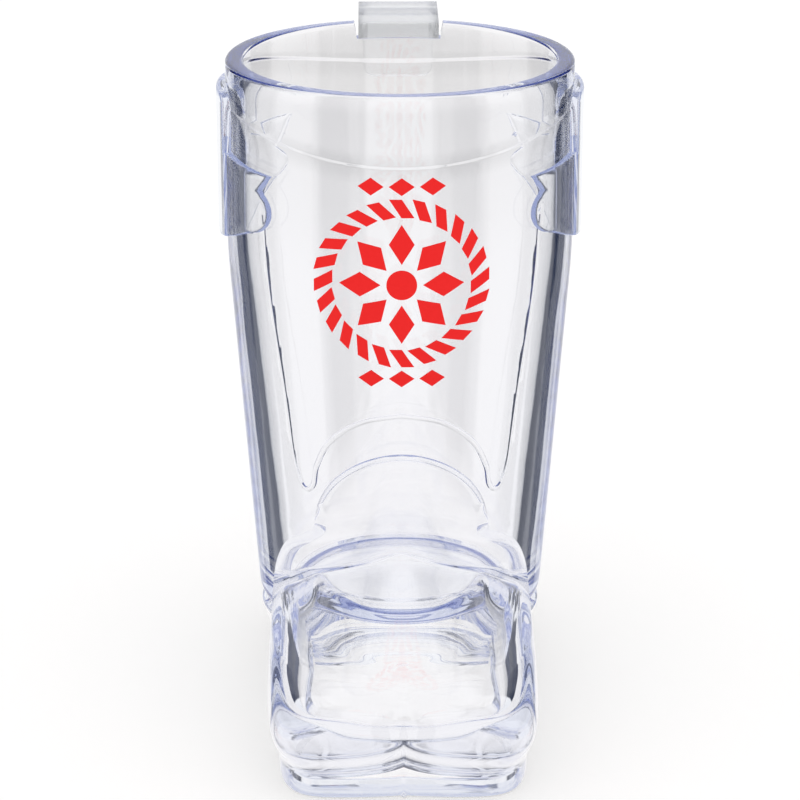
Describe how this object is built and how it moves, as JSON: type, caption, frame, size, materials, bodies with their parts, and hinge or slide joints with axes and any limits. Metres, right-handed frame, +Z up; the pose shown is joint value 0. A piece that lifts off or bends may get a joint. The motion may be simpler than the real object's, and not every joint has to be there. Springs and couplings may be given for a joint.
{
  "type": "boot shot glass",
  "caption": "Clear plastic shot glass shaped like a square-toed western boot, with pull straps at the mouth, a hanging clip at the back and a red print on the shaft.",
  "frame": {"origin": "point on the table under the axis of the shaft, on the underside of the heel", "axes": "+Z up along the axis of the shaft, toe toward -Y, hanging clip toward +Y, +X to the right seen from the toe"},
  "size_m": [0.0444, 0.08, 0.076],
  "materials": {
    "clear_body": "clear, polished",
    "clear_sole": "clear, polished",
    "clear_trim": "clear, polished",
    "red_ink": "flat screen ink"
  },
  "bodies": {
    "root": {"shaft_cup": "clear_body", "foot_shell": "clear_body", "outsole": "clear_sole", "heel_block": "clear_sole", "pull_strap_left": "clear_trim", "pull_strap_right": "clear_trim", "rear_clip": "clear_trim", "front_print": "red_ink"}
  },
  "joints": []
}
